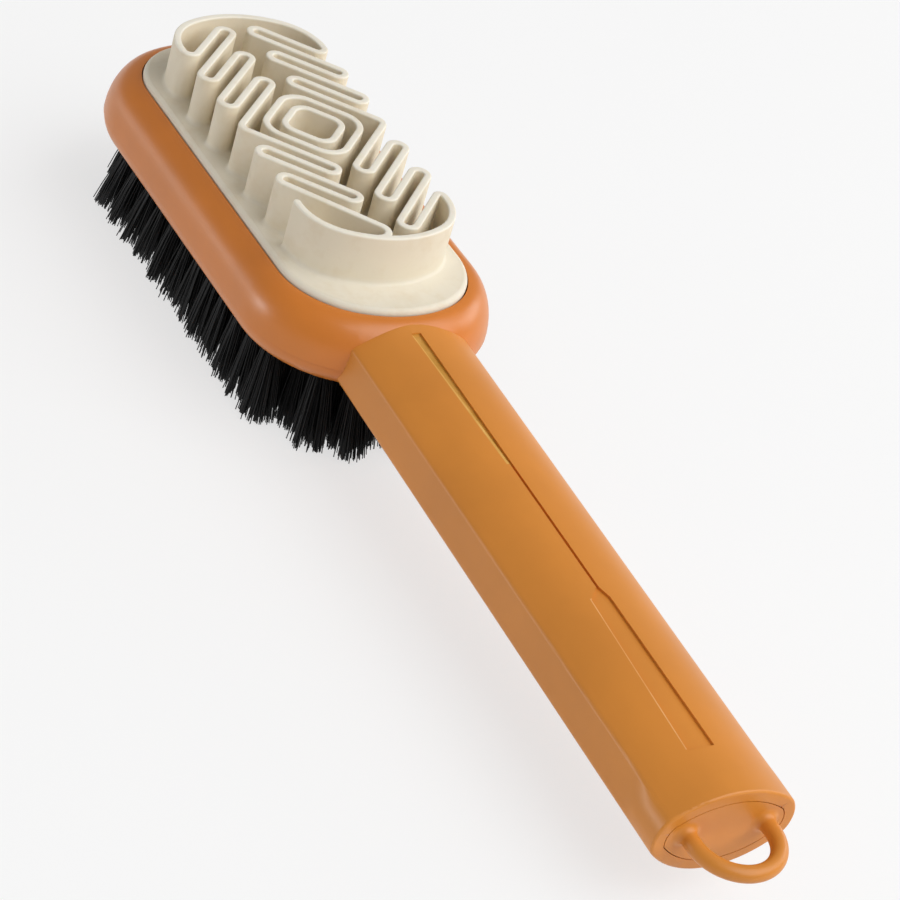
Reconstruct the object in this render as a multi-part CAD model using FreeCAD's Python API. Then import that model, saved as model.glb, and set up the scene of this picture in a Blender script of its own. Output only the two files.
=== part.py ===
import FreeCAD, Part
import math
import os

from FreeCAD import Vector

# Suede brush with a folded rubber crepe on top and bristle tufts below.
# Frame: origin at the head's centre on the plane of the bristle tips, +X along
# the handle, +Z up. All sizes are in millimetres.

# Head outline, measured at the recess that takes the rubber pad
RECESS_HALF_LENGTH = 44.0
RECESS_HALF_WIDTH = 17.7
RECESS_CORNER_R = 15.0
RECESS_END_R = 22.0
RIM_WIDTH = 5.4
RIM_LEDGE = 0.15

# Heights
BRISTLE_LENGTH = 14.1
BOARD_THICKNESS = 4.6
TOP_SHELL_HEIGHT = 8.4
RECESS_DEPTH = 3.0
DECK_THICKNESS = 2.2

# Rubber pad with the crepe walls; near is the handle's side
PAD_GAP = 0.25
PAD_PROUD = 1.1
PAD_EDGE_ROUND = 1.0
CREPE_HEIGHT = 9.3
STRIP = 1.3
FOLD_PITCH = 8.72
LEG_ANGLE = 43.0
FOLDS = 3
INNER_TURN_X = 13.97
INNER_TURN_Y = 3.37
OUTER_TURN_Y = 12.85
CROWN_TURN_R = 1.6
NEAR_NOSE_R = 0.8
FAR_NOSE_R = 1.4
CREPE_HALF_WIDTH = 14.2
CREPE_NEAR_LENGTH = 35.7
CREPE_FAR_LENGTH = 37.2
CREPE_END_R = 18.7
CREPE_CORNER_R = 10.0
HORN_LENGTH = 1.0
HOOK_R = 2.0
HOOK_INSET = 0.55
HOOK_SHIFT = 1.5
RING_ROUNDS = (4.0, 2.5)

# Tufts, their holes in the flat of the board and their anchors
ROWS_EACH_SIDE = 3
ROW_INSET = 0.2
TUFT_PITCH = 5.54
TUFT_ROOT_R = 1.5
TUFT_TIP_R = 2.5
TUFT_FLARE = 0.085
TUFT_SIDES = 6
HOLE_CLEARANCE = 0.1
HOLE_MARGIN = 0.05
HOLE_DEPTH = 4.2
ANCHOR_LENGTH = 2.6
ANCHOR_HEIGHT = 1.4
ANCHOR_GAUGE = 0.4

# Screws between the two head shells
SCREW_COLUMN_COUNT = 4
SCREW_R = 1.1
SCREW_REACH = 3.4
SCREW_HEAD_R = 2.2
SCREW_HEAD_HEIGHT = 1.2
SCREW_CLEARANCE = 0.15

# Handle: a straight tube that dips a little towards the bristle side
HANDLE_DIP = 2.48
HANDLE_LENGTH = 106.2
HANDLE_END_Z = 14.8
HANDLE_HALF_WIDTH = 12.45
CREST_HALF_WIDTH = 11.0
CREST_HEIGHT = 3.4
CROWN_HEIGHT = 7.1
KEEL_HALF_WIDTH = 11.9
KEEL_TOP = 3.2
KEEL_DEPTH = 8.6
CREST_ROUND_AT_HEAD = 0.8
CREST_ROUND_AT_END = 4.0
KEEL_ROUND = 3.0
HANDLE_END_ROUND = 0.5
HANDLE_WALL = 2.0
FIT_GAP = 0.15
CHIN_SINK = 0.8
CHIN_LENGTH = 11.0
CHIN_DROP = 4.0
CHIN_SAG = 1.1

# Spigot that carries the handle
SPIGOT_SINK = 4.8
SPIGOT_REACH = 28.0
BOARD_WEB = 2.0

# Stepped groove along the handle's crown: a tapering slot, then a wider panel
GROOVE_DEPTH = 0.45
GROOVE_SLOT = 0.5
GROOVE_SINK = 1.4
GROOVE_START_WIDTH = 1.7
GROOVE_TAPER_LENGTH = 34.0
SLOT_LENGTH = 63.5
SLANT_LENGTH = 2.4
PANEL_LENGTH = 32.3
GROOVE_SHIFT = 0.8
PANEL_WIDTH = 3.4
PANEL_END_WIDTH = 4.6

# End cap and hanging loop, and how far cutting solids run past what they cut
CAP_PLUG = 8.0
CAP_FACE = 2.4
CAP_SKIRT = 1.6
LOOP_HALF_WIDTH = 7.0
LOOP_REACH = 9.2
LOOP_R = 1.35
LOOP_ROOT_R = 1.2

OVERRUN = 1.0

HEAD_OVAL = (RECESS_HALF_LENGTH, RECESS_HALF_WIDTH, RECESS_END_R, RECESS_CORNER_R)
HEAD_END_X = RECESS_HALF_LENGTH + RIM_WIDTH
HANDLE_END_X = HEAD_END_X + HANDLE_LENGTH
SPIGOT_ROOT_X = HEAD_END_X - SPIGOT_SINK
BOARD_TOP = BRISTLE_LENGTH + BOARD_THICKNESS
HEAD_TOP = BOARD_TOP + TOP_SHELL_HEIGHT
RECESS_FLOOR = HEAD_TOP - RECESS_DEPTH
DECK_UNDER = RECESS_FLOOR - DECK_THICKNESS
PAD_TOP = HEAD_TOP + PAD_PROUD
CREPE_TOP = PAD_TOP + CREPE_HEIGHT
LEG_SLOPE = 1.0 / math.tan(math.radians(LEG_ANGLE))
HALF_PITCH = FOLD_PITCH / 2.0
TURN_R = HALF_PITCH * math.sin(math.radians(LEG_ANGLE)) / 2.0
HOLE_R = TUFT_ROOT_R + HOLE_CLEARANCE
TUFT_EDGE = HOLE_R + HOLE_MARGIN
ROW_PITCH = (RECESS_HALF_WIDTH - TUFT_EDGE - ROW_INSET) / ROWS_EACH_SIDE
UP = Vector(0, 0, 1)


def arc(start, middle, end):
    return Part.Arc(start, middle, end).toShape()


def oval_centres(oval):
    """Centre of an oval's end arc, then the centre of the corner arc beside it."""
    half_length, half_width, end_r, corner_r = oval
    end_x = half_length - end_r
    corner_y = half_width - corner_r
    return end_x, end_x + math.sqrt((end_r - corner_r) ** 2 - corner_y ** 2), corner_y


def oval_reach(oval, grow, y):
    """Half length of a grown oval at a distance from its long axis."""
    end_x, corner_x, corner_y = oval_centres(oval)
    end_r, corner_r = oval[2] + grow, oval[3] + grow
    meet = math.atan2(corner_y, corner_x - end_x)
    if abs(y) < end_r * math.sin(meet):
        return end_x + math.sqrt(end_r ** 2 - y ** 2)
    return corner_x + math.sqrt(corner_r ** 2 - (abs(y) - corner_y) ** 2)


def oval_end(oval, grow, sx, z):
    """Three arcs round one end of a grown oval, clockwise seen from above."""
    end_x, corner_x, corner_y = oval_centres(oval)
    end_r, corner_r = oval[2] + grow, oval[3] + grow
    meet = math.atan2(corner_y, corner_x - end_x)
    middle = (meet + math.pi / 2.0) / 2.0

    def corner(angle, sy):
        x = corner_x + corner_r * math.cos(angle)
        y = corner_y + corner_r * math.sin(angle)
        return Vector(sx * x, sx * sy * y, z)

    first, last = corner(math.pi / 2.0, 1), corner(math.pi / 2.0, -1)
    tip = Vector(sx * (end_x + end_r), 0, z)
    return [
        arc(first, corner(middle, 1), corner(meet, 1)),
        arc(corner(meet, 1), tip, corner(meet, -1)),
        arc(corner(meet, -1), corner(middle, -1), last),
    ]


def head_outline(grow, z):
    """Closed wire of the head's oval, grown outwards from the recess."""
    near, far = oval_end(HEAD_OVAL, grow, 1, z), oval_end(HEAD_OVAL, grow, -1, z)
    corner_x = oval_centres(HEAD_OVAL)[1]
    side = RECESS_HALF_WIDTH + grow
    low = Part.makeLine(Vector(corner_x, -side, z), Vector(-corner_x, -side, z))
    high = Part.makeLine(Vector(-corner_x, side, z), Vector(corner_x, side, z))
    return Part.Wire(near + [low] + far + [high])


def slab(grow, z_low, z_high):
    """Solid slice of the head's oval."""
    return Part.Face(head_outline(grow, z_low)).extrude(UP * (z_high - z_low))


def quarter_ellipse(centre, across, upright):
    """Quarter of an ellipse from the end of one half axis to the end of the other."""
    if across.Length < upright.Length:
        across, upright = upright, across
    ellipse = Part.Ellipse(centre + across, centre + upright, centre)
    return Part.ArcOfEllipse(ellipse, 0.0, math.pi / 2.0).toShape()


def head_body():
    """The whole head with its soft rim; a small step at the parting splits the shells."""
    path = head_outline(0.0, BOARD_TOP)
    start = path.OrderedVertexes[0].Point
    out = Vector(0, math.copysign(RIM_WIDTH, start.y), 0)
    low_out = out * (1.0 - RIM_LEDGE / RIM_WIDTH)
    top, bottom = UP * TOP_SHELL_HEIGHT, UP * -BOARD_THICKNESS
    section = Part.Wire([
        quarter_ellipse(start, out, top),
        Part.makeLine(start + out, start + low_out),
        quarter_ellipse(start, low_out, bottom),
        Part.makeLine(start + bottom, start + top),
    ])
    rim = path.makePipeShell([section], True, False)
    return slab(0.0, BRISTLE_LENGTH, HEAD_TOP).fuse(rim).removeSplitter()


def half_angle(before, corner, after):
    """Half the angle between the two runs that meet at a corner."""
    back, ahead = (before - corner).normalize(), (after - corner).normalize()
    return math.acos(max(-1.0, min(1.0, back.dot(ahead)))) / 2.0


def rounded_path(points, radii):
    """Edges of an open polyline whose inner corners are rounded."""
    edges, last = [], points[0]
    for before, corner, after, radius in zip(points, points[1:], points[2:], radii):
        back, ahead = (before - corner).normalize(), (after - corner).normalize()
        half = half_angle(before, corner, after)
        run = radius / math.tan(half)
        start, end = corner + back * run, corner + ahead * run
        middle_way = (back + ahead).normalize()
        middle = corner + middle_way * (radius / math.sin(half) - radius)
        if last.distanceToPoint(start) > 1e-6:
            edges.append(Part.makeLine(last, start))
        edges.append(arc(start, middle, end))
        last = end
    edges.append(Part.makeLine(last, points[-1]))
    return edges


def leg_x(number, y):
    """Distance from the centre of a leg of the folded strip, at a height in plan."""
    first = INNER_TURN_X + LEG_SLOPE * INNER_TURN_Y - HALF_PITCH / 2.0
    return first + number * HALF_PITCH - LEG_SLOPE * y


def turn_corners(number, turn_y, sign):
    """The two corners of a half-round turn between a leg and the next one."""
    along = Vector(math.cos(math.radians(LEG_ANGLE)), -math.sin(math.radians(LEG_ANGLE)), 0)
    across = Vector(along.y, -along.x, 0) * -TURN_R
    middle_x = (leg_x(number, turn_y) + leg_x(number + 1, turn_y)) / 2.0
    tip = Vector(middle_x, turn_y, 0) + along * (sign * TURN_R)
    return tip - across, tip + across


def fold_corners(folds):
    """Corners of the strip in one quadrant, from the crown of the middle outwards."""
    corners, radii = [Vector(0, leg_x(0, 0) / LEG_SLOPE, 0)], [CROWN_TURN_R]
    for leg in range(2 * folds - 1):
        inner = leg % 2 == 0
        corners.extend(turn_corners(leg, INNER_TURN_Y if inner else OUTER_TURN_Y, 1 if inner else -1))
        radii.extend((TURN_R, TURN_R))
    return corners, radii


def mirrored(points, sx, sy):
    return [Vector(sx * p.x, sy * p.y, p.z) for p in points]


def wall(edges):
    """Upright rubber wall of the strip's thickness along a path."""
    outline = Part.Wire(edges).makeOffset2D(STRIP / 2.0, 0, False, False, False)
    outline.translate(UP * RECESS_FLOOR)
    return Part.Face(outline).extrude(UP * (CREPE_TOP - RECESS_FLOOR))


def ring_wall(size, radius):
    """Closed rounded diamond at the centre of the crepe."""
    tall = size / LEG_SLOPE
    points = [Vector(0, tall, 0), Vector(size, 0, 0), Vector(0, -tall, 0), Vector(-size, 0, 0)]
    start = (points[3] + points[0]) * 0.5
    edges = rounded_path([start] + points + [start], [radius] * 4)
    path = Part.Wire(edges)
    outer = path.makeOffset2D(STRIP / 2.0)
    inner = path.makeOffset2D(-STRIP / 2.0)
    face = Part.Face(outer).cut(Part.Face(inner))
    face.translate(UP * RECESS_FLOOR)
    return face.extrude(UP * (CREPE_TOP - RECESS_FLOOR))


def crepe_oval(half_length):
    return half_length, CREPE_HALF_WIDTH, CREPE_END_R, CREPE_CORNER_R


def shoulder(half_length):
    """Point where a round end wall of the crepe starts, on the +X and +Y side."""
    return Vector(oval_centres(crepe_oval(half_length))[1], CREPE_HALF_WIDTH, 0)


def fold_walls():
    """The two zigzag strips, above and below the head's long axis."""
    corners, radii = fold_corners(FOLDS)
    nose = Vector(leg_x(2 * FOLDS - 1, CREPE_HALF_WIDTH), CREPE_HALF_WIDTH, 0)
    left = mirrored([shoulder(CREPE_FAR_LENGTH), nose] + corners[:0:-1], -1, 1)
    left_radii = [FAR_NOSE_R] + radii[:0:-1]
    upper = left + corners + [nose, shoulder(CREPE_NEAR_LENGTH)]
    walls = [wall(rounded_path(upper, left_radii + radii + [NEAR_NOSE_R]))]

    lower = mirrored(left, 1, -1) + mirrored(corners[:-2], 1, -1)
    hook_x = CREPE_NEAR_LENGTH - HOOK_INSET
    hook_y = (hook_x - HOOK_SHIFT - leg_x(2 * FOLDS - 2, 0)) / LEG_SLOPE
    hook = Vector(hook_x, hook_y, 0)
    down = Vector(0, -1, 0)
    hook_run = HOOK_R / math.tan(half_angle(lower[-1], hook, hook + down)) + STRIP / 4.0
    lower += [hook, hook + down * hook_run]
    walls.append(wall(rounded_path(lower, left_radii + radii[:-2] + [HOOK_R])))
    return walls


def end_walls():
    """The round walls that close the crepe; the near one runs out in a short horn."""
    near = oval_end(crepe_oval(CREPE_NEAR_LENGTH), 0.0, 1, 0.0)
    far = oval_end(crepe_oval(CREPE_FAR_LENGTH), 0.0, -1, 0.0)
    tail = shoulder(CREPE_NEAR_LENGTH) - Vector(0, 2.0 * CREPE_HALF_WIDTH, 0)
    horn = Part.makeLine(tail, tail - Vector(HORN_LENGTH, 0, 0))
    return [wall(near + [horn]), wall(far)]


def crepe_pad():
    """One rubber moulding: the pad base with every crepe wall on it."""
    base = slab(-PAD_GAP, RECESS_FLOOR, PAD_TOP)
    rim = [e for e in base.Edges if e.BoundBox.ZMin > PAD_TOP - 1e-6]
    base = base.makeFillet(PAD_EDGE_ROUND, rim)
    rings = [ring_wall(leg_x(-1 - k, 0), radius) for k, radius in enumerate(RING_ROUNDS)]
    walls = fold_walls() + end_walls() + rings
    return base.fuse(walls).removeSplitter()


def tuft_places(row):
    """Centres of the tufts in one row, staggered against the next row."""
    y = row * ROW_PITCH
    shift = 0.5 if row % 2 else 0.0
    limit = oval_reach(HEAD_OVAL, -TUFT_EDGE, y)
    count = int(limit / TUFT_PITCH) + 1
    columns = [k + shift for k in range(-count, count + 1)]
    return [Vector(c * TUFT_PITCH, y, 0) for c in columns if abs(c * TUFT_PITCH) <= limit]


def all_tuft_places():
    rows = range(-ROWS_EACH_SIDE, ROWS_EACH_SIDE + 1)
    return [place for row in rows for place in tuft_places(row)]


def ring_points(centre, radius, z):
    """Corners of a level polygon, its first corner repeated at the end."""
    points = []
    for k in range(TUFT_SIDES + 1):
        angle = 2.0 * math.pi * (k + 0.5) / TUFT_SIDES
        points.append(Vector(centre.x + radius * math.cos(angle), centre.y + radius * math.sin(angle), z))
    return points


def flat_face(points):
    return Part.Face(Part.makePolygon(points))


def tuft(place):
    """One bundle of bristles: straight in its hole, then fanning out to a flat tip."""
    root_top = BRISTLE_LENGTH + HOLE_DEPTH - ANCHOR_HEIGHT
    tip = ring_points(place * (1.0 + TUFT_FLARE), TUFT_TIP_R, 0.0)
    mouth = ring_points(place, TUFT_ROOT_R, BRISTLE_LENGTH)
    root = ring_points(place, TUFT_ROOT_R, root_top)
    faces = [flat_face(tip[::-1]), flat_face(root)]
    for lower, upper in ((tip, mouth), (mouth, root)):
        for k in range(TUFT_SIDES):
            faces.append(flat_face([lower[k], lower[k + 1], upper[k + 1], upper[k], lower[k]]))
    return Part.makeSolid(Part.makeShell(faces))


def tuft_hole(place):
    face = flat_face(ring_points(place, HOLE_R, BRISTLE_LENGTH - OVERRUN))
    return face.extrude(UP * (HOLE_DEPTH + OVERRUN))


def tuft_anchor(place):
    """Flat metal anchor across the top of a tuft hole."""
    z = BRISTLE_LENGTH + HOLE_DEPTH - ANCHOR_HEIGHT
    corner = Vector(place.x - ANCHOR_LENGTH / 2.0, place.y - ANCHOR_GAUGE / 2.0, z)
    return Part.makeBox(ANCHOR_LENGTH, ANCHOR_GAUGE, ANCHOR_HEIGHT, corner)


def screw_places():
    """Four screws in the gaps between the tufts of the first and second rows."""
    x, y = (SCREW_COLUMN_COUNT + 0.75) * TUFT_PITCH, 1.5 * ROW_PITCH
    return [Vector(sx * x, sy * y, 0) for sx in (1, -1) for sy in (1, -1)]


def screw(place, extra):
    """Countersunk self-tapping screw, or with extra its clearance in the deck."""
    head = Part.makeCone(
        SCREW_R + extra, SCREW_HEAD_R + extra, SCREW_HEAD_HEIGHT,
        place + UP * (RECESS_FLOOR - SCREW_HEAD_HEIGHT))
    bottom = BOARD_TOP - SCREW_REACH
    shank = Part.makeCylinder(SCREW_R + extra, RECESS_FLOOR - SCREW_HEAD_HEIGHT - bottom, place + UP * bottom)
    return head.fuse(shank)


def handle_section(inset):
    """Section of the handle in its own YZ plane: crown, two sides and keel."""
    crest = Vector(0, CREST_HALF_WIDTH, CREST_HEIGHT)
    keel = Vector(0, KEEL_HALF_WIDTH, -KEEL_TOP)
    side = Vector(0, HANDLE_HALF_WIDTH, 0)
    crest_2, side_2, keel_2 = [Vector(0, -p.y, p.z) for p in (crest, side, keel)]
    wire = Part.Wire([
        arc(crest_2, Vector(0, 0, CROWN_HEIGHT), crest),
        arc(crest, side, keel),
        arc(keel, Vector(0, 0, -KEEL_DEPTH), keel_2),
        arc(keel_2, side_2, crest_2),
    ])
    return wire.makeOffset2D(-inset) if inset else wire


def on_handle(shape):
    """Moves a shape from the handle's own frame, origin at its end, to the brush."""
    shape.rotate(Vector(0, 0, 0), Vector(0, 1, 0), HANDLE_DIP)
    shape.translate(Vector(HANDLE_END_X, 0, HANDLE_END_Z))
    return shape


def handle_prism(inset, start_x, end_x):
    """Length of the handle's section, between distances along the brush."""
    stretch = 1.0 / math.cos(math.radians(HANDLE_DIP))
    first = (start_x - HANDLE_END_X) * stretch
    length = (end_x - start_x) * stretch
    face = Part.Face(handle_section(inset))
    face.translate(Vector(first, 0, 0))
    return on_handle(face.extrude(Vector(length, 0, 0)))


def long_edges(solid, high):
    """Long edges of a handle prism: both crests, or both edges of the keel."""
    tilt = math.tan(math.radians(HANDLE_DIP))
    picked = []
    for edge in solid.Edges:
        middle = edge.CenterOfMass
        above = middle.z > HANDLE_END_Z + (HANDLE_END_X - middle.x) * tilt
        if edge.BoundBox.XLength > HANDLE_HALF_WIDTH and above == high:
            picked.append(edge)
    return picked


def handle_skin():
    """Outer form of the handle; its crests soften from the head to the end."""
    form = handle_prism(0.0, SPIGOT_ROOT_X, HANDLE_END_X)
    form = form.makeFillet(KEEL_ROUND, long_edges(form, False))
    for side in (1, -1):
        crest = [e for e in long_edges(form, True) if e.CenterOfMass.y * side > 0]
        radii = (CREST_ROUND_AT_HEAD, CREST_ROUND_AT_END)
        if crest[0].valueAt(crest[0].FirstParameter).x > crest[0].CenterOfMass.x:
            radii = radii[::-1]
        form = form.makeFillet(radii[0], radii[1], crest)
    return form


def groove_cutter():
    """Shallow groove of even depth under the crown: tapering slot, step and panel."""
    start = HEAD_END_X - GROOVE_SINK
    slot_end = start + SLOT_LENGTH
    panel = slot_end + SLANT_LENGTH
    end = panel + PANEL_LENGTH
    right = GROOVE_SLOT / 2.0
    panel_right = right + GROOVE_SHIFT
    plan = [
        Vector(start, right, 0),
        Vector(slot_end, right, 0),
        Vector(panel, panel_right, 0),
        Vector(end, panel_right, 0),
        Vector(end, panel_right - PANEL_END_WIDTH, 0),
        Vector(panel, panel_right - PANEL_WIDTH, 0),
        Vector(slot_end, -right, 0),
        Vector(start + GROOVE_TAPER_LENGTH, -right, 0),
        Vector(start, right - GROOVE_START_WIDTH, 0),
    ]
    column = flat_face(plan + plan[:1]).extrude(UP * HEAD_TOP * 2.0)
    return column.cut(handle_prism(GROOVE_DEPTH, 0.0, HANDLE_END_X))


def chin_cutter():
    """Sweeps the underside of the handle up to the head's underside."""
    start = Vector(HEAD_END_X - CHIN_SINK, 0, BRISTLE_LENGTH)
    end = start + Vector(CHIN_LENGTH, 0, -CHIN_DROP)
    middle = (start + end) * 0.5 - UP * CHIN_SAG
    low = HANDLE_END_Z - KEEL_DEPTH * 2.0
    back = SPIGOT_ROOT_X
    corners = [end, Vector(end.x, 0, low), Vector(back, 0, low), Vector(back, 0, start.z), start]
    lines = [Part.makeLine(a, b) for a, b in zip(corners, corners[1:])]
    face = Part.Face(Part.Wire([arc(start, middle, end)] + lines))
    face.translate(Vector(0, -HANDLE_HALF_WIDTH * 2.0, 0))
    return face.extrude(Vector(0, HANDLE_HALF_WIDTH * 4.0, 0))


def handle_tube(head):
    """Hollow handle, scribed to the head's bullnose at its front."""
    outer = handle_skin()
    end_x = HANDLE_END_X - CROWN_HEIGHT
    outer = outer.makeFillet(HANDLE_END_ROUND, [e for e in outer.Edges if e.BoundBox.XMin > end_x])
    bore = handle_prism(HANDLE_WALL, 0.0, HANDLE_END_X + OVERRUN)
    return outer.cut([bore, head, chin_cutter(), groove_cutter()])


def spigot():
    """Tongue of the top shell that fills the front of the handle."""
    inset = HANDLE_WALL + FIT_GAP
    tongue = handle_prism(inset, SPIGOT_ROOT_X, HEAD_END_X + SPIGOT_REACH)
    return tongue.common(space_above(BRISTLE_LENGTH + BOARD_WEB))


def space_above(z):
    """Tall block over the spigot's length, for trimming its underside flat."""
    length, width, height = HANDLE_END_X, HANDLE_HALF_WIDTH * 2.0, HEAD_TOP * 2.0
    return Part.makeBox(length, width, height, Vector(0, -HANDLE_HALF_WIDTH, z))


def head_top_shell(head):
    """Upper shell: half the bullnose, the pad's recess, the deck and the spigot."""
    upper = head.common(slab(RIM_WIDTH + OVERRUN, BOARD_TOP, HEAD_TOP + OVERRUN))
    recess = slab(0.0, RECESS_FLOOR, HEAD_TOP + OVERRUN)
    pocket = slab(-DECK_THICKNESS, BOARD_TOP - OVERRUN, DECK_UNDER)
    shell = upper.cut([recess, pocket]).fuse(spigot())
    holes = [screw(place, SCREW_CLEARANCE) for place in screw_places()]
    return shell.cut(holes).removeSplitter()


def tuft_board(head):
    """Lower shell: the board drilled for the tufts, with a lip inside the top shell."""
    lower = head.common(slab(RIM_WIDTH + OVERRUN, BRISTLE_LENGTH - OVERRUN, BOARD_TOP))
    lip = slab(-DECK_THICKNESS - FIT_GAP, BOARD_TOP, DECK_UNDER - FIT_GAP)
    notch = handle_prism(HANDLE_WALL, SPIGOT_ROOT_X - FIT_GAP, HANDLE_END_X)
    notch = notch.common(space_above(BRISTLE_LENGTH + BOARD_WEB - FIT_GAP))
    holes = [tuft_hole(place) for place in all_tuft_places()]
    pilots = [screw(place, 0.0) for place in screw_places()]
    return lower.fuse(lip).cut(holes + pilots + [notch]).removeSplitter()


def hanging_loop():
    """Round bar bent to an arch, its feet let into the cap's face."""
    straight = LOOP_REACH - LOOP_HALF_WIDTH
    foot = Vector(-CAP_FACE / 2.0, LOOP_HALF_WIDTH, 0)
    bend = Vector(straight, LOOP_HALF_WIDTH, 0)
    flip = [Vector(p.x, -p.y, 0) for p in (foot, bend)]
    path = Part.Wire([
        Part.makeLine(foot, bend),
        arc(bend, Vector(LOOP_REACH, 0, 0), flip[1]),
        Part.makeLine(flip[1], flip[0]),
    ])
    section = Part.Wire([Part.makeCircle(LOOP_R, foot, Vector(1, 0, 0))])
    return path.makePipeShell([section], True, False)


def end_cap():
    """Flush plug with a hollow back and the hanging loop moulded on."""
    inset = HANDLE_WALL + FIT_GAP
    plug = Part.Face(handle_section(inset))
    plug.translate(Vector(-CAP_PLUG, 0, 0))
    plug = plug.extrude(Vector(CAP_PLUG, 0, 0))
    hollow = Part.Face(handle_section(inset + CAP_SKIRT))
    hollow.translate(Vector(-CAP_PLUG - OVERRUN, 0, 0))
    hollow = hollow.extrude(Vector(CAP_PLUG + OVERRUN - CAP_FACE, 0, 0))
    cap = plug.cut(hollow).fuse(hanging_loop()).removeSplitter()
    roots = [e for e in cap.Edges if is_loop_root(e)]
    return on_handle(cap.makeFillet(LOOP_ROOT_R, roots))


def is_loop_root(edge):
    """True for the circle where a leg of the loop meets the cap's face."""
    if not isinstance(edge.Curve, Part.Circle) or abs(edge.CenterOfMass.x) > 1e-4:
        return False
    return abs(edge.Curve.Radius - LOOP_R) < 1e-4


def save(name, shapes):
    solids = shapes if isinstance(shapes, list) else [shapes]
    solids = [solid for shape in solids for solid in shape.Solids]
    shape = solids[0] if len(solids) == 1 else Part.makeCompound(solids)
    shape.exportStep(os.path.join("parts", name + ".step"))


def main():
    os.makedirs("parts", exist_ok=True)
    head = head_body()
    save("head_top_shell", head_top_shell(head))
    save("tuft_board", tuft_board(head))
    save("crepe_pad", crepe_pad())
    save("handle_tube", handle_tube(head))
    save("end_cap", end_cap())
    save("head_screws", [screw(place, 0.0) for place in screw_places()])
    save("tuft_anchors", [tuft_anchor(place) for place in all_tuft_places()])
    for row in range(-ROWS_EACH_SIDE, ROWS_EACH_SIDE + 1):
        number = row + ROWS_EACH_SIDE + 1
        save("bristle_row_%d" % number, [tuft(place) for place in tuft_places(row)])


main()
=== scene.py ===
import math

import bmesh
import bpy
import numpy as np
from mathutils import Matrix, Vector
from mathutils.geometry import delaunay_2d_cdt


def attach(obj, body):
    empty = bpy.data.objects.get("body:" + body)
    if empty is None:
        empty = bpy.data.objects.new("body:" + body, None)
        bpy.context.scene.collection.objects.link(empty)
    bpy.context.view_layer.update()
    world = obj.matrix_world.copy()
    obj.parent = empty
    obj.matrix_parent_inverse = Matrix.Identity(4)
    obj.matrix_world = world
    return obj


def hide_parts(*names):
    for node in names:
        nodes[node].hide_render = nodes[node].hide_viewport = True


MM = 0.001

# Camera of the photograph, in millimetres and degrees
CAMERA_PLACE = (396.13, -251.34, 292.04)
CAMERA_TURN = (55.083, -14.390, 62.588)
CAMERA_LENS = 121.463
SENSOR_WIDTH = 36.0
CLIP_START = 10.0

# Light of the room, and soft lamps: name, place and size in metres, power in watts
WORLD_GLOW = 0.32
LAMP_AIM = (0.05, 0.0, 0.02)
LAMPS = (
    ("key", (0.72, 0.5, 1.02), (1.6, 1.2), 16.0),
    ("low_left", (-0.62, -0.56, 0.035), (0.5, 0.07), 0.42),
    ("near_card", (-0.30, -0.73, 0.06), (0.2, 0.1), 0.85),
    ("far_side", (-0.03, 0.95, 0.32), (0.55, 0.36), 1.9),
)

# Half the floor's side, in metres, and the share of it that shows as plain white
FLOOR_HALF = 4.0
FLOOR_GLOW = 0.68

# Plain colours of the plastic and of the rubber's pad; the rubber's walls painted darker and warmer
# as shade, its crests painted paler as a highlight
WHITE = (1.0, 1.0, 1.0)
HEAD_ORANGE = (0.67, 0.20, 0.019)
HANDLE_ORANGE = (0.71, 0.258, 0.034)
PAD_CREAM = (0.84, 0.775, 0.64)
WALL_CREAM_PAINTED_SHADE = (0.83, 0.745, 0.585)
CREST_CREAM_PAINTED_HIGHLIGHT = (0.92, 0.865, 0.745)

# Bristle filaments: numbers of them, then lengths in millimetres
FILAMENTS_PER_TUFT = 200
FILAMENT_STEPS = 4
FILAMENT_SIDES = 3
CLUMPS_PER_TUFT = 9
BRISTLE_SEED = 11
FILAMENT_R = 0.15
ROOT_DEPTH = 0.8
TIP_STRAY = 0.3
BEND_STRAY = 0.15
HIGHEST_TIP = 3.0

# Spread of tip heights, as shape and scale of a gamma draw: by clump, then by filament
CLUMP_HEIGHTS = (1.2, 0.16)
FILAMENT_HEIGHTS = (1.1, 0.14)

# Shares: of a filament's or tuft's radius, of the way to a clump, and of the lean at mid length
FILAMENT_TAPER = 0.75
ROOT_SPREAD = 0.95
CLUMP_SPREAD = 1.35
TIP_SPREAD = 1.45
TIP_LIMIT = 1.6
CLUMP_PULL = (0.05, 0.4)
BEND_LEAN = 0.1

# Rubber: levels of its pad and crests, rounds at its walls' tops and feet, and sharp angle
PAD_TOP = 28.2
CREPE_TOP = 37.5
CREPE_TOP_ROUND = 0.28
CREPE_TOP_RINGS = 5
CREPE_FOOT_ROUND = 0.65
CREPE_FOOT_RINGS = 4
CREPE_SHARP = 40
OFFSET_PASSES = 60
OFFSET_MITRE = 0.5

# Handle: axis through its end, and section with crown, keel and side arc up to the crest
HANDLE_END = (155.9, 14.8)
DIP = math.radians(2.48)
CROWN_R = 18.2
CROWN_AXIS = -11.1
KEEL_R = 15.81
KEEL_AXIS = 7.21
CREST = (11.0, 3.4)
SIDE_ARC = (CREST, (12.45, 0.0), (11.9, -3.2))
HANDLE_SHARP = 32

# Handle's flat flanks: tilt, softness of crest and foot, and where along X they fade out
FLANK_TILT = math.radians(9.0)
CREST_SOFT = 0.3
FLANK_FOOT_SOFT = 0.3
FLANK_FADES = (144.0, 152.0)

# Cuts that give the flanks points: angles about the side arc in degrees, and places along X
FLANK_CUTS = range(-36, 32, 4)
CREST_CUTS = (30, *range(32, 42))
CROWN_CUTS = (42, 44, 46, 49, 52, 56, 60)
FADE_CUTS = range(142, 155)

# Angles about the side arc, in radians, between which faces are cut, points moved and shaded
CUT_RANGE = (-0.75, 1.15)
MOVE_RANGE = (-0.7, 1.1)
SHADE_RANGE = (-0.6, 1.04)
TURN_STEP = 0.002
LEAST_COSINE = 0.05

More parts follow.
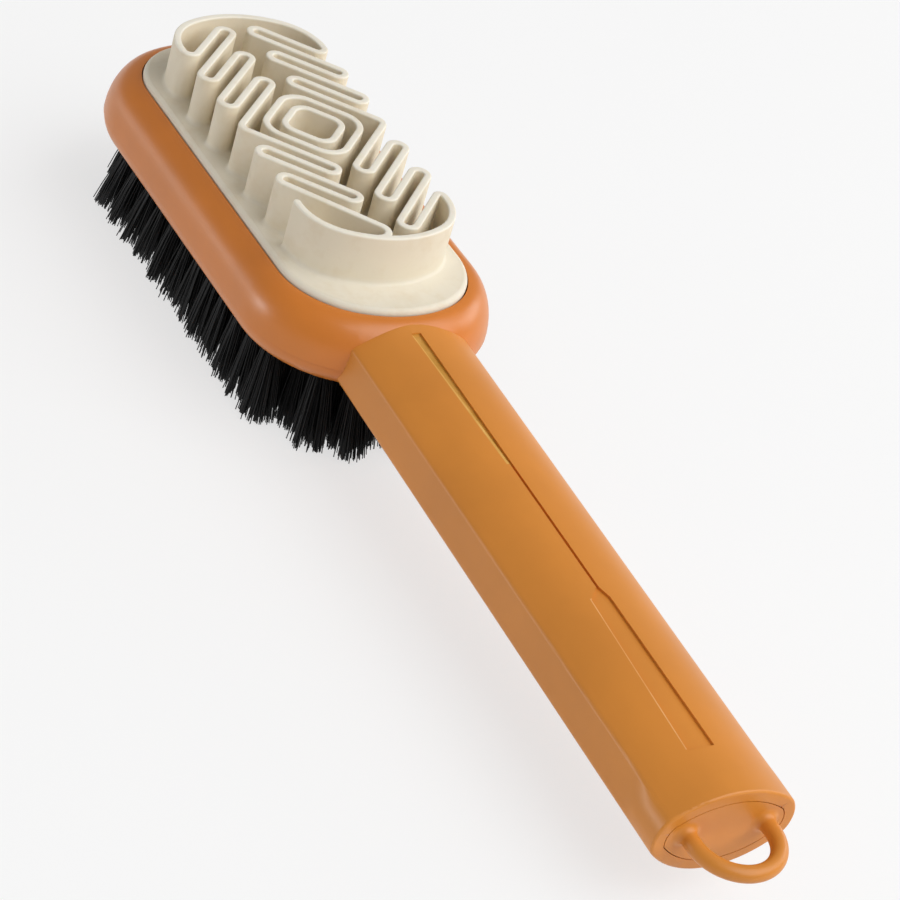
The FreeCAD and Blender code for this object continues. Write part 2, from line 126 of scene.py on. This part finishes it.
# How near the skin a point counts as part of it, and how well a face has to match its normal
SKIN_DEPTH = 0.7
ON_SKIN = 0.02
SKIN_MATCH = 0.85
WALL_MATCH = 0.4

# Groove along the crown: depth, then painted light: the slot's floor painted lighter ochre as lit,
# a painted highlight along its left edge, and one along the left edge of its panel
GROOVE_DEPTH = 0.45
SLOT_FLOOR_SINK = 0.2
OCHRE_END_X = 82.0
SLOT_EDGE = ((48.5, -1.34), (82.0, -0.5))
SLOT_EDGE_HALF = 0.25
PANEL_EDGE = ((113.6, -2.35), (145.9, -3.55))
PANEL_EDGE_HALF = 0.17
SLOT_FLOOR_PAINTED_LIGHT = ((0.3, (0.60, 0.29, 0.04)), (0.7, (0.70, 0.36, 0.07)))
SLOT_EDGE_PAINTED_HIGHLIGHT = ((0.3, (0.72, 0.37, 0.07)), (0.7, (0.84, 0.47, 0.12)))
PANEL_EDGE_PAINTED_HIGHLIGHT = ((0.35, (0.74, 0.30, 0.06)), (0.6, (0.88, 0.46, 0.17)))

# Tolerances in metres: to join points, to share a level, to snap to a cut, to fill a plan
JOIN = 2e-6
SAME_LEVEL = 2e-5
SNAP = 1e-6
FILL_NEAR = 1e-8

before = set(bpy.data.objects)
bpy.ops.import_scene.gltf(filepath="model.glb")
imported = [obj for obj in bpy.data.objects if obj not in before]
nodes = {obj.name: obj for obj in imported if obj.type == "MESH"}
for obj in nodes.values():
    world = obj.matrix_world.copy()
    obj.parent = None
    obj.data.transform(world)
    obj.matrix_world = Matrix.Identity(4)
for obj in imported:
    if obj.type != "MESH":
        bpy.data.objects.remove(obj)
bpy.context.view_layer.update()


class Shader:
    """Short names for building one node material."""

    def __init__(self, name):
        self.material = bpy.data.materials.new(name)
        self.material.use_nodes = True
        self.tree = self.material.node_tree
        self.surface = self.tree.nodes["Principled BSDF"]

    def feed(self, socket, value):
        """Links an output to a socket, or sets the socket to a constant."""
        if hasattr(value, "is_linked"):
            self.tree.links.new(value, socket)
        else:
            socket.default_value = value

    def node(self, kind, inputs=(), **settings):
        made = self.tree.nodes.new(kind)
        for key, value in settings.items():
            setattr(made, key, value)
        for key, value in dict(inputs).items():
            self.feed(made.inputs[key], value)
        return made

    def place(self):
        return self.node("ShaderNodeTexCoord").outputs["Object"]

    def axes(self):
        return self.node("ShaderNodeSeparateXYZ", {"Vector": self.place()}).outputs

    def attribute(self, name):
        return self.node("ShaderNodeAttribute", attribute_name=name).outputs["Fac"]

    def noise(self, scale, detail=3.0, roughness=0.5, stretch=None):
        source = self.place()
        if stretch:
            inputs = {"Scale": stretch, "Vector": source}
            source = self.node("ShaderNodeMapping", inputs).outputs["Vector"]
        inputs = {"Scale": scale, "Detail": detail, "Roughness": roughness, "Vector": source}
        return self.node("ShaderNodeTexNoise", inputs).outputs["Fac"]

    def ramp(self, factor, stops):
        ramp = self.node("ShaderNodeValToRGB", {"Fac": factor})
        elements = ramp.color_ramp.elements
        for k, (position, colour) in enumerate(stops):
            element = elements[k] if k < 2 else elements.new(position)
            element.position = position
            element.color = (*colour, 1.0)
        return ramp.outputs["Color"]

    def blend(self, kind, factor, first, second):
        inputs = {"Factor": factor, "A": first, "B": second}
        mix = self.node("ShaderNodeMix", inputs, data_type="RGBA", blend_type=kind)
        return mix.outputs["Result"]

    def math(self, operation, first, second=0.0):
        made = self.node("ShaderNodeMath", operation=operation)
        for socket, value in zip(made.inputs, (first, second)):
            self.feed(socket, value)
        return made.outputs["Value"]

    def times(self, first, second):
        return self.math("MULTIPLY", first, second)

    def spread(self, value, low, high, start=0.0, end=1.0):
        inputs = {"Value": value, "From Min": start, "From Max": end, "To Min": low, "To Max": high}
        return self.node("ShaderNodeMapRange", inputs).outputs["Result"]

    def bump(self, height, strength, distance, under=None):
        inputs = {"Height": height, "Strength": strength, "Distance": distance * MM}
        if under is not None:
            inputs["Normal"] = under
        return self.node("ShaderNodeBump", inputs).outputs["Normal"]

    def set(self, **values):
        for key, value in values.items():
            self.feed(self.surface.inputs[key.replace("_", " ")], value)


def tone(colour, factor):
    return tuple(min(1.0, c * factor) for c in colour)


def plan_line(s, x, y, start, end, half):
    """Mask of a thin straight line seen from above."""
    (first_x, first_y), (last_x, last_y) = start, end
    slope = (last_y - first_y) / (last_x - first_x)
    line = s.math("ADD", s.times(x, slope), (first_y - slope * first_x) * MM)
    apart = s.math("ABSOLUTE", s.math("SUBTRACT", y, line))
    near = s.math("LESS_THAN", apart, half * MM)
    past_start = s.math("GREATER_THAN", x, first_x * MM)
    before_end = s.math("LESS_THAN", x, last_x * MM)
    return s.times(near, s.times(past_start, before_end))


def groove_painted_light(s, base):
    """Painted light on the groove: the slot's floor painted lighter and ochre where it catches
    light, and painted highlights along the slot's left edge and its panel's left edge.
    """
    x, y, z = s.axes()
    end_x, end_z = HANDLE_END
    above_end = (end_x * math.sin(DIP) + end_z * math.cos(DIP)) * MM
    rise = s.math("ADD", s.times(x, math.sin(DIP)), s.times(z, math.cos(DIP)))
    rise = s.math("SUBTRACT", rise, above_end)
    on_crown = s.math("GREATER_THAN", rise, CREST[1] * MM)
    up = s.math("SUBTRACT", rise, CROWN_AXIS * MM)
    reach = s.math("SQRT", s.math("ADD", s.times(y, y), s.times(up, up)))
    sunk = s.math("LESS_THAN", reach, (CROWN_R - SLOT_FLOOR_SINK) * MM)
    slot = s.times(sunk, s.math("LESS_THAN", x, OCHRE_END_X * MM))
    slot_edge_highlight = plan_line(s, x, y, *SLOT_EDGE, SLOT_EDGE_HALF)
    panel_edge_highlight = plan_line(s, x, y, *PANEL_EDGE, PANEL_EDGE_HALF)
    fine, coarse = s.noise(300.0), s.noise(90.0)
    # Painted light: lit ochre slot floor, and painted highlights on the slot's and the panel's left
    # edges
    for mask, grain, painted_light_tones in (
        (slot, fine, SLOT_FLOOR_PAINTED_LIGHT),
        (slot_edge_highlight, fine, SLOT_EDGE_PAINTED_HIGHLIGHT),
        (panel_edge_highlight, coarse, PANEL_EDGE_PAINTED_HIGHLIGHT),
    ):
        base = s.blend("MIX", s.times(mask, on_crown), base, s.ramp(grain, painted_light_tones))
    return base


def moulded_plastic(name, colour, roughness, gloss, painted_light_tones=None):
    """Satin moulded plastic: faint flow marks, fine skin texture and handling haze."""
    s = Shader(name)
    clouds = s.noise(45.0, detail=4.0, roughness=0.55)
    base = s.ramp(clouds, [(0.3, tone(colour, 0.94)), (0.7, tone(colour, 1.05))])
    # Painted light, such as the groove's on the handle, goes over the base colour where given
    base = painted_light_tones(s, base) if painted_light_tones else base
    flow = s.noise(120.0, detail=2.0, stretch=(0.25, 1.0, 1.0))
    marks = s.ramp(flow, [(0.35, (0.97, 0.96, 0.95)), (0.65, WHITE)])
    skin = s.noise(2600.0, detail=2.0, roughness=0.6)
    peel = s.noise(420.0, detail=2.0)
    normal = s.bump(skin, strength=0.06, distance=0.04)
    normal = s.bump(peel, strength=0.05, distance=0.12, under=normal)
    haze = s.noise(70.0, detail=5.0, roughness=0.65)
    haze = s.spread(haze, roughness - 0.05, roughness + 0.07)
    s.set(Base_Color=s.blend("MULTIPLY", 1.0, base, marks), Roughness=haze, Normal=normal)
    s.set(Specular_IOR_Level=gloss)
    return s.material


def crepe_rubber(name, pad, wall, crest):
    """Cream gum rubber: walls painted darker and warmer as shade and crests painted pale as a
    highlight, soft translucency, faint stains, powdery grain.
    """
    s = Shader(name)
    level = s.spread(s.axes()["Z"], 0.0, 1.0, PAD_TOP * MM, CREPE_TOP * MM)
    # Colour by height: walls painted darker and warmer as shade, crests painted paler as a
    # highlight
    base = s.ramp(level, [(0.04, pad), (0.14, wall), (0.95, wall), (0.985, crest)])
    clouds = s.noise(60.0, detail=5.0, roughness=0.6)
    clouds = s.ramp(clouds, [(0.3, (0.94, 0.935, 0.925)), (0.7, WHITE)])
    base = s.blend("MULTIPLY", 1.0, base, clouds)
    stain = s.noise(160.0, roughness=0.7)
    marks = s.ramp(stain, [(0.28, (0.95, 0.92, 0.87)), (0.5, WHITE)])
    grain = s.noise(3200.0, roughness=0.7)
    pits = s.noise(900.0, detail=2.0, roughness=0.6)
    normal = s.bump(grain, strength=0.12, distance=0.05)
    normal = s.bump(pits, strength=0.08, distance=0.1, under=normal)
    rough = s.spread(s.noise(240.0, detail=4.0, roughness=0.6), 0.48, 0.66)
    s.set(Base_Color=s.blend("MULTIPLY", 1.0, base, marks), Roughness=rough, Normal=normal)
    s.set(Subsurface_Weight=0.08, Subsurface_Radius=(0.0016, 0.0012, 0.0008))
    s.set(Subsurface_Scale=1.0, Specular_IOR_Level=0.35)
    return s.material


def bristle_fibre(name):
    """Black filaments that differ a little in tone at random, painted greyer towards their ends as
    a highlight.
    """
    s = Shader(name)
    shade, tip_highlight_share = s.attribute("shade"), s.attribute("along")
    dark, middle, grey = (0.002, 0.002, 0.0022), (0.005, 0.005, 0.0055), (0.022, 0.023, 0.025)
    body = s.ramp(shade, [(0.0, dark), (0.8, middle), (1.0, grey)])
    # Painted highlight: filaments greyer towards their ends, where light catches them
    tips = s.ramp(shade, [(0.0, (0.006, 0.006, 0.006)), (1.0, (0.036, 0.036, 0.038))])
    s.set(Base_Color=s.blend("MIX", tip_highlight_share, body, tips))
    s.set(Roughness=s.spread(s.noise(900.0), 0.38, 0.54), Specular_IOR_Level=0.22)
    return s.material


def plain_steel(name):
    """Bright drawn steel of the anchors and screws."""
    s = Shader(name)
    streaks = s.noise(900.0, roughness=0.6, stretch=(0.1, 1.0, 1.0))
    s.set(Base_Color=s.ramp(streaks, [(0.3, (0.5, 0.5, 0.51)), (0.7, (0.66, 0.66, 0.68))]))
    s.set(Metallic=1.0, Roughness=s.spread(streaks, 0.28, 0.42))
    return s.material


def smooth(mesh, angle):
    """Smooth shading, kept sharp where faces meet at more than an angle."""
    mesh.polygons.foreach_set("use_smooth", [True] * len(mesh.polygons))
    mesh.set_sharp_from_angle(angle=math.radians(angle))


def dress(obj, material):
    obj.data.materials.clear()
    obj.data.materials.append(material)


def add_object(name, mesh, material, slot, *stands_for):
    obj = bpy.data.objects.new(name, mesh)
    bpy.context.scene.collection.objects.link(obj)
    mesh.materials.append(material)
    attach(obj, "root")
    if stands_for:
        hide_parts(*stands_for)
    return obj


def joined_mesh(node):
    """Copy of a CAD mesh with its split vertices joined."""
    mesh = bmesh.new()
    mesh.from_mesh(node.data)
    bmesh.ops.remove_doubles(mesh, verts=mesh.verts, dist=JOIN)
    return mesh


def finished_mesh(name, mesh, sharp):
    """Mesh data of an edited mesh, which is freed, with smooth shading."""
    data = bpy.data.meshes.new(name)
    mesh.to_mesh(data)
    mesh.free()
    smooth(data, sharp)
    return data


def drop_slivers(mesh):
    bmesh.ops.remove_doubles(mesh, verts=mesh.verts, dist=JOIN)
    bmesh.ops.dissolve_degenerate(mesh, edges=mesh.edges, dist=SNAP)


def loose_parts(node):
    """Corner points of each separate solid in a CAD node, in order along X."""
    mesh = joined_mesh(node)
    waiting, parts = set(mesh.verts), []
    while waiting:
        stack, part = [waiting.pop()], []
        while stack:
            vert = stack.pop()
            part.append(vert.co[:])
            near = [edge.other_vert(vert) for edge in vert.link_edges]
            near = [other for other in near if other in waiting]
            waiting.difference_update(near)
            stack.extend(near)
        parts.append(np.array(part))
    mesh.free()
    return sorted(parts, key=lambda part: part[:, 0].mean())


def tuft_axes(node):
    """Tip centre, mouth centre, tip radius and mouth radius of every tuft in a CAD row."""
    axes = []
    for part in loose_parts(node):
        levels = np.unique(np.round(part[:, 2], 5))
        rings = [part[np.abs(part[:, 2] - z) < SAME_LEVEL] for z in levels[:2]]
        tip, mouth = [(ring.min(0) + ring.max(0)) / 2 for ring in rings]
        tip_r, mouth_r = [np.ptp(ring[:, 1]) / 2 for ring in rings]
        axes.append((tip, mouth, tip_r, mouth_r))
    return axes


def disc(rng, count, radius):
    """Points spread evenly over a disc."""
    angle = rng.uniform(0, 2 * math.pi, count)
    reach = radius * np.sqrt(rng.uniform(0, 1, count))
    return np.stack([reach * np.cos(angle), reach * np.sin(angle)], 1)


def tip_heights(rng, heights, count):
    shape, scale = heights
    return rng.gamma(shape, scale * MM, count)


def tuft_lines(rng, tip, root, tip_r, root_r):
    """Centre lines of one tuft's filaments: out of the hole, fanning into clumps."""
    n = FILAMENTS_PER_TUFT
    start = disc(rng, n, root_r * ROOT_SPREAD)
    clumps = disc(rng, CLUMPS_PER_TUFT, tip_r * CLUMP_SPREAD)
    reach = start / root_r * tip_r * TIP_SPREAD
    nearest = np.argmin(((reach[:, None] - clumps[None]) ** 2).sum(2), 1)
    pull = rng.uniform(*CLUMP_PULL, n)[:, None]
    stray = rng.normal(0, TIP_STRAY * MM, (n, 2))
    end = reach * (1 - pull) + clumps[nearest] * pull + stray
    far = np.linalg.norm(end, axis=1)
    end *= np.minimum(1.0, tip_r * TIP_LIMIT / np.maximum(far, 1e-9))[:, None]
    level = tip_heights(rng, CLUMP_HEIGHTS, CLUMPS_PER_TUFT)[nearest]
    level = level + tip_heights(rng, FILAMENT_HEIGHTS, n)
    first = np.c_[root[:2] + start, np.full(n, root[2] + ROOT_DEPTH * MM)]
    last = np.c_[tip[:2] + end, np.minimum(level, HIGHEST_TIP * MM)]
    bend = first * 0.5 + last * 0.5
    stray = rng.normal(0, BEND_STRAY * MM, (n, 2))
    bend[:, :2] += (last[:, :2] - first[:, :2]) * BEND_LEAN + stray
    t = np.linspace(0, 1, FILAMENT_STEPS + 1)[None, :, None]
    return (1 - t) ** 2 * first[:, None] + 2 * t * (1 - t) * bend[:, None] + t ** 2 * last[:, None]


def filament_mesh(name, lines, shades):
    """Thin tapering rods along the lines, as one mesh with a shade attribute for random tone and an
    attribute that places the painted highlight at their ends.
    """
    n, rings = lines.shape[:2]
    sides = FILAMENT_SIDES
    angle = 2 * math.pi * np.arange(sides) / sides
    around = np.stack([np.cos(angle), np.sin(angle), np.zeros(sides)], 1)
    taper = FILAMENT_R * MM * np.linspace(1.0, FILAMENT_TAPER, rings)
    co = lines[:, :, None, :] + around[None, None] * taper[None, :, None, None]
    index = np.arange(n * rings * sides).reshape(n, rings, sides)
    turned = np.roll(index, -1, 2)
    quads = [index[:, :-1], index[:, 1:], turned[:, 1:], turned[:, :-1]]
    quads = np.stack(quads, -1).reshape(-1, 4)
    ends = index[:, -1, ::-1].reshape(-1, sides)
    mesh = bpy.data.meshes.new(name)
    mesh.from_pydata(co.reshape(-1, 3), [], quads.tolist() + ends.tolist())
    along = np.broadcast_to(np.linspace(0, 1, rings)[None, :, None] ** 3, (n, rings, sides))
    shade = np.broadcast_to(shades[:, None, None], (n, rings, sides))
    for key, values in (("shade", shade), ("along", along)):
        layer = mesh.attributes.new(key, "FLOAT", "POINT")
        layer.data.foreach_set("value", np.ascontiguousarray(values, np.float32).ravel())
    mesh.polygons.foreach_set("use_smooth", [True] * len(mesh.polygons))
    mesh.update()
    return mesh


def make_bristles(material):
    """A mesh of filaments in place of each row of tufts."""
    rng = np.random.default_rng(BRISTLE_SEED)
    for name in sorted(n for n in nodes if n.startswith("bristle_row_")):
        lines = [tuft_lines(rng, *axis) for axis in tuft_axes(nodes[name])]
        lines = np.concatenate(lines)
        mesh = filament_mesh(name + "_filaments", lines, rng.uniform(0, 1, len(lines)))
        add_object(name + "_filaments", mesh, material, "bristle", name)


def plan_loops(mesh, z):
    """Closed outlines of the flat faces at one height, each with its faces on the left."""
    mesh.verts.index_update()
    steps = {}
    for face in mesh.faces:
        if all(abs(v.co.z - z) < SAME_LEVEL for v in face.verts):
            for corner in face.loops:
                steps[corner.vert.index, corner.link_loop_next.vert.index] = True
    ahead = dict(pair for pair in steps if pair[::-1] not in steps)
    mesh.verts.ensure_lookup_table()
    loops = []
    while ahead:
        first = next(iter(ahead))
        ring, here = [first], ahead.pop(first)
        while here != first:
            ring.append(here)
            here = ahead.pop(here)
        loops.append(np.array([mesh.verts[k].co[:2] for k in ring]))
    return loops


def offset_loop(points, distance):
    """Closed plan loop moved to its left; runs that would turn over are drawn together."""
    ahead = np.roll(points, -1, 0) - points
    side = np.c_[-ahead[:, 1], ahead[:, 0]] / np.linalg.norm(ahead, axis=1)[:, None]
    both = side + np.roll(side, 1, 0)
    moved = points + both * (2 * distance / np.maximum((both ** 2).sum(1), OFFSET_MITRE))[:, None]
    for _ in range(OFFSET_PASSES):
        turned = np.nonzero(((np.roll(moved, -1, 0) - moved) * ahead).sum(1) < 0)[0]
        for k in turned:
            pair = [k, (k + 1) % len(moved)]
            moved[pair] = moved[pair].mean(0)
        if not len(turned):
            break
    return moved


def wall_rings(outline, foot_z, top_z):
    """Rings of points up a rubber wall: round at its foot, then round over its top edge."""
    foot, top = CREPE_FOOT_ROUND * MM, CREPE_TOP_ROUND * MM
    out, inward = offset_loop(outline, -foot) - outline, offset_loop(outline, top) - outline
    rings = []
    for turn in np.linspace(0, math.pi / 2, CREPE_FOOT_RINGS):
        z = foot_z + foot * (1 - math.cos(turn))
        rings.append((outline + out * (1 - math.sin(turn)), z))
    for turn in np.linspace(0, math.pi / 2, CREPE_TOP_RINGS):
        z = top_z - top * (1 - math.sin(turn))
        rings.append((outline + inward * (1 - math.cos(turn)), z))
    return [np.c_[plan, np.full(len(plan), z)] for plan, z in rings]


def loops_around(points, loops):
    """How many of the closed plan loops go round each point."""
    total = np.zeros(len(points), int)
    x, y = points[:, :1], points[:, 1:]
    for loop in loops:
        a, b = loop[:, :2], np.roll(loop[:, :2], -1, 0)
        rise = np.where(a[:, 1] == b[:, 1], 1.0, b[:, 1] - a[:, 1])
        cross = a[:, 0] + (y - a[:, 1]) * (b[:, 0] - a[:, 0]) / rise
        over = (a[:, 1] > y) != (b[:, 1] > y)
        total += (over & (x < cross)).sum(1) % 2
    return total


def fill_flat(mesh, loops, z):
    """Flat faces between nested closed loops at one height, facing up."""
    points, edges = [], []
    for loop in loops:
        apart = np.linalg.norm(np.roll(loop, -1, 0) - loop, axis=1) > JOIN
        first, count = len(points), int(apart.sum())
        points += [Vector(p[:2]) for p in loop[apart]]
        edges += [(first + k, first + (k + 1) % count) for k in range(count)]
    made = delaunay_2d_cdt(points, edges, [], 1, FILL_NEAR)
    verts = [mesh.verts.new((p.x, p.y, z)) for p in made[0]]
    whole = [face for face in made[2] if len(set(face)) == len(face)]
    faces = list({tuple(sorted(face)): face for face in whole}.values())
    plan = np.array([p[:] for p in made[0]])
    nested = loops_around(np.array([plan[list(face)].mean(0) for face in faces]), loops)
    for face, depth in zip(faces, nested):
        if depth % 2 == 0:
            continue
        added = mesh.faces.new([verts[k] for k in face])
        added.normal_update()
        if added.normal.z < 0:
            added.normal_flip()


def pad_level(heights):
    """Height between the lowest and highest that most points of the rubber share."""
    low, top = min(heights) + MM, max(heights) - MM
    levels, counts = np.unique(
        np.round([z for z in heights if low < z < top], 6), return_counts=True)
    return float(levels[np.argmax(counts)])


def make_crepe(material):
    """The rubber moulding with soft wall tops and small rounds at the walls' feet."""
    mesh = joined_mesh(nodes["crepe_pad"])
    heights = [v.co.z for v in mesh.verts]
    top, pad = max(heights), pad_level(heights)
    outlines = plan_loops(mesh, top)
    edge = max(plan_loops(mesh, pad), key=lambda loop: np.ptp(loop[:, 0]))
    spare = [f for f in mesh.faces if all(v.co.z > pad - SAME_LEVEL for v in f.verts)]
    bmesh.ops.delete(mesh, geom=spare, context="FACES")
    walls = [wall_rings(outline, pad, top) for outline in outlines]
    for rings in walls:
        grid = [[mesh.verts.new(p) for p in ring] for ring in rings]
        for lower, upper in zip(grid, grid[1:]):
            for k in range(len(lower)):
                n = (k + 1) % len(lower)
                mesh.faces.new((lower[k], lower[n], upper[n], upper[k]))
    fill_flat(mesh, [rings[0] for rings in walls] + [edge], pad)
    fill_flat(mesh, [rings[-1] for rings in walls], top)
    drop_slivers(mesh)
    data = finished_mesh("crepe_rubber", mesh, CREPE_SHARP)
    add_object("crepe_rubber", data, material, "crepe_rubber", "crepe_pad")


def arc_circle(first, middle, last):
    """Centre and radius of the circle through three points."""
    (ax, ay), (bx, by), (cx, cy) = first, middle, last
    turn = 2 * (ax * (by - cy) + bx * (cy - ay) + cx * (ay - by))
    a, b, c = ax * ax + ay * ay, bx * bx + by * by, cx * cx + cy * cy
    x = (a * (by - cy) + b * (cy - ay) + c * (ay - by)) / turn
    y = (a * (cx - bx) + b * (ax - cx) + c * (bx - ax)) / turn
    return x, y, math.hypot(ax - x, ay - y)


SIDE_Y, SIDE_UP, SIDE_R = arc_circle(*SIDE_ARC)


def soft_min(first, second, width):
    """The lesser of two reaches, with a soft change over a width."""
    near = max(width - abs(first - second), 0.0) / width
    return min(first, second) - near * near * width / 4


def section_reach(angle, x):
    """Reach from the side arc's centre to the handle's moulded skin and to its flattened one."""
    above = SIDE_UP - CROWN_AXIS
    lean = SIDE_Y * math.cos(angle) + above * math.sin(angle)
    crown = -lean + math.sqrt(lean ** 2 - SIDE_Y ** 2 - above ** 2 + CROWN_R ** 2)
    crest_y, crest_up = CREST
    flank = (crest_y - SIDE_Y) * math.cos(FLANK_TILT) + (crest_up - SIDE_UP) * math.sin(FLANK_TILT)
    flank /= max(math.cos(angle - FLANK_TILT), LEAST_COSINE)
    start, end = FLANK_FADES
    left = min(1.0, max(0.0, (end - x) / (end - start)))
    old = min(crown, SIDE_R)
    new = soft_min(crown, soft_min(flank, SIDE_R, FLANK_FOOT_SOFT), CREST_SOFT)
    return old, old + (new - old) * left * left * (3 - 2 * left)


def handle_place(point):
    """Side of the handle, then angle and reach of a point about that side's arc."""
    along, high = point.x / MM - HANDLE_END[0], point.z / MM - HANDLE_END[1]
    rise = along * math.sin(DIP) + high * math.cos(DIP)
    side = 1.0 if point.y > 0 else -1.0
    across, up = abs(point.y) / MM - SIDE_Y, rise - SIDE_UP
    return side, math.atan2(up, across), math.hypot(across, up)


def from_section(side, across, up):
    """Direction in the brush of a direction in the handle's section."""
    return Vector((up * math.sin(DIP), side * across, up * math.cos(DIP)))


def within(value, limits):
    return limits[0] < value < limits[1]


def on_side(point):
    """Whether a point is on the outside of the handle, from its keel's edge to its crown."""
    _, angle, reach = handle_place(point)
    return within(angle, CUT_RANGE) and reach > section_reach(angle, 0.0)[0] - SKIN_DEPTH


def split_handle(mesh):
    """Cuts the handle's sides along and across, where the flank and its crest need points."""
    cuts = []
    for side in (1, -1):
        at = Vector((HANDLE_END[0], 0, HANDLE_END[1])) + from_section(side, SIDE_Y, SIDE_UP)
        for angle in map(math.radians, (*FLANK_CUTS, *CREST_CUTS, *CROWN_CUTS)):
            cuts.append((side, at * MM, from_section(side, -math.sin(angle), math.cos(angle))))
        for x in FADE_CUTS:
            cuts.append((side, Vector((x * MM, 0, 0)), Vector((1, 0, 0))))
    for side, at, normal in cuts:
        faces = [
            f for f in mesh.faces if any(v.co.y * side > 0 and on_side(v.co) for v in f.verts)]
        verts, edges = {v for f in faces for v in f.verts}, {e for f in faces for e in f.edges}
        geom = list(verts) + list(edges) + faces
        bmesh.ops.bisect_plane(mesh, geom=geom, dist=SNAP, plane_co=at, plane_no=normal)


def flatten_flanks(mesh):
    """Moves the points of the handle's skin from the moulded section to the flattened one."""
    for vert in mesh.verts:
        side, angle, reach = handle_place(vert.co)
        if within(angle, MOVE_RANGE):
            old, new = section_reach(angle, vert.co.x / MM)
            if abs(reach - old) < SKIN_DEPTH:
                outward = from_section(side, math.cos(angle), math.sin(angle))
                vert.co += outward * ((new - old) * MM)


def skin_normal(point):
    """Normal of the handle's skin at a point of its crown, flank or keel, or None elsewhere."""
    side, angle, reach = handle_place(point)
    x = point.x / MM
    y, rise = SIDE_Y + reach * math.cos(angle), SIDE_UP + reach * math.sin(angle)
    on_flank = within(angle, SHADE_RANGE) and abs(reach - section_reach(angle, x)[1]) < ON_SKIN
    if on_flank:
        before, after = [section_reach(angle + a, x)[1] for a in (-TURN_STEP, TURN_STEP)]
        slope = (after - before) / (2 * TURN_STEP)
        across = reach * math.cos(angle) + slope * math.sin(angle)
        up = reach * math.sin(angle) - slope * math.cos(angle)
    else:
        axis, radius = (CROWN_AXIS, CROWN_R) if rise > 0 else (KEEL_AXIS, KEEL_R)
        across, up = y, rise - axis
        sunk = radius - math.hypot(across, up)
        if abs(up) < radius / 2 or min(abs(sunk), abs(sunk - GROOVE_DEPTH)) > ON_SKIN:
            return None
    return from_section(side, across, up).normalized()


def shade_handle(data):
    """Gives the skin's own normals to its faces, and flat ones to the groove's walls."""
    normals = [corner.vector.copy() for corner in data.corner_normals]
    skins = [skin_normal(v.co) for v in data.vertices]
    for face in data.polygons:
        for k in face.loop_indices:
            skin = skins[data.loops[k].vertex_index]
            if skin is None:
                continue
            match = skin.dot(face.normal)
            if match > SKIN_MATCH:
                normals[k] = skin
            elif match < WALL_MATCH:
                normals[k] = face.normal.copy()
    data.normals_split_custom_set(normals)


def make_handle(material):
    """The handle's tube with flat flanks and crisp crests that fade out near its end."""
    mesh = joined_mesh(nodes["handle_tube"])
    split_handle(mesh)
    flatten_flanks(mesh)
    drop_slivers(mesh)
    bmesh.ops.triangulate(mesh, faces=[f for f in mesh.faces if len(f.verts) > 4])
    data = finished_mesh("handle_body", mesh, HANDLE_SHARP)
    shade_handle(data)
    add_object("handle_body", data, material, "handle_plastic", "handle_tube")


def make_floor():
    """Pale paper that reads almost white to the eye and in gloss, and keeps the shadow."""
    s = Shader("floor_paper")
    paper = s.ramp(s.noise(3.0), [(0.0, (0.86, 0.86, 0.86)), (1.0, (0.88, 0.88, 0.88))])
    s.set(Base_Color=paper, Roughness=0.9, Specular_IOR_Level=0.1)
    rays = s.node("ShaderNodeLightPath").outputs
    mirrored = s.math("MAXIMUM", rays["Is Glossy Ray"], rays["Is Transmission Ray"])
    seen = s.math("MAXIMUM", rays["Is Camera Ray"], mirrored)
    glow = s.node("ShaderNodeEmission", {"Strength": 1.0}).outputs["Emission"]
    mix = s.node("ShaderNodeMixShader")
    shares = (s.times(seen, FLOOR_GLOW), s.surface.outputs["BSDF"], glow)
    for socket, value in zip(mix.inputs, shares):
        s.feed(socket, value)
    s.feed(s.tree.nodes["Material Output"].inputs["Surface"], mix.outputs["Shader"])
    mesh = bpy.data.meshes.new("floor")
    half = FLOOR_HALF
    corners = [(-half, -half, 0), (half, -half, 0), (half, half, 0), (-half, half, 0)]
    mesh.from_pydata(corners, [], [(0, 1, 2, 3)])
    mesh.materials.append(s.material)
    floor = bpy.data.objects.new("floor", mesh)
    bpy.context.scene.collection.objects.link(floor)


def add_softbox(name, place, size, watts):
    light = bpy.data.lights.new(name, "AREA")
    light.shape = "RECTANGLE"
    light.size, light.size_y = size
    light.energy = watts
    lamp = bpy.data.objects.new(name, light)
    lamp.location = Vector(place)
    lamp.rotation_mode = "QUATERNION"
    lamp.rotation_quaternion = (Vector(LAMP_AIM) - Vector(place)).to_track_quat("-Z", "Y")
    bpy.context.scene.collection.objects.link(lamp)


def make_light():
    world = bpy.data.worlds.new("studio")
    world.use_nodes = True
    room = world.node_tree.nodes["Background"].inputs
    room["Color"].default_value = (*WHITE, 1.0)
    room["Strength"].default_value = WORLD_GLOW
    bpy.context.scene.world = world
    for lamp in LAMPS:
        add_softbox(*lamp)


def make_camera():
    data = bpy.data.cameras.new("photo_camera")
    data.lens = CAMERA_LENS
    data.sensor_width = SENSOR_WIDTH
    data.clip_start = CLIP_START * MM
    camera = bpy.data.objects.new("photo_camera", data)
    camera.location = Vector(CAMERA_PLACE) * MM
    camera.rotation_euler = [math.radians(a) for a in CAMERA_TURN]
    bpy.context.scene.collection.objects.link(camera)
    bpy.context.scene.camera = camera


head = moulded_plastic("head_plastic", HEAD_ORANGE, roughness=0.33, gloss=0.64)
handle = moulded_plastic(
    "handle_plastic", HANDLE_ORANGE, roughness=0.36, gloss=0.46, painted_light_tones=groove_painted_light)
rubber = crepe_rubber("crepe_rubber", PAD_CREAM, WALL_CREAM_PAINTED_SHADE, CREST_CREAM_PAINTED_HIGHLIGHT)
fibre = bristle_fibre("bristle_fibre")
steel = plain_steel("steel")

dress(nodes["head_top_shell"], head)
dress(nodes["tuft_board"], head)
dress(nodes["end_cap"], handle)
dress(nodes["tuft_anchors"], steel)
dress(nodes["head_screws"], steel)
make_handle(handle)
make_crepe(rubber)
make_bristles(fibre)
make_floor()
make_light()
make_camera()
bpy.context.scene.view_settings.view_transform = "Standard"
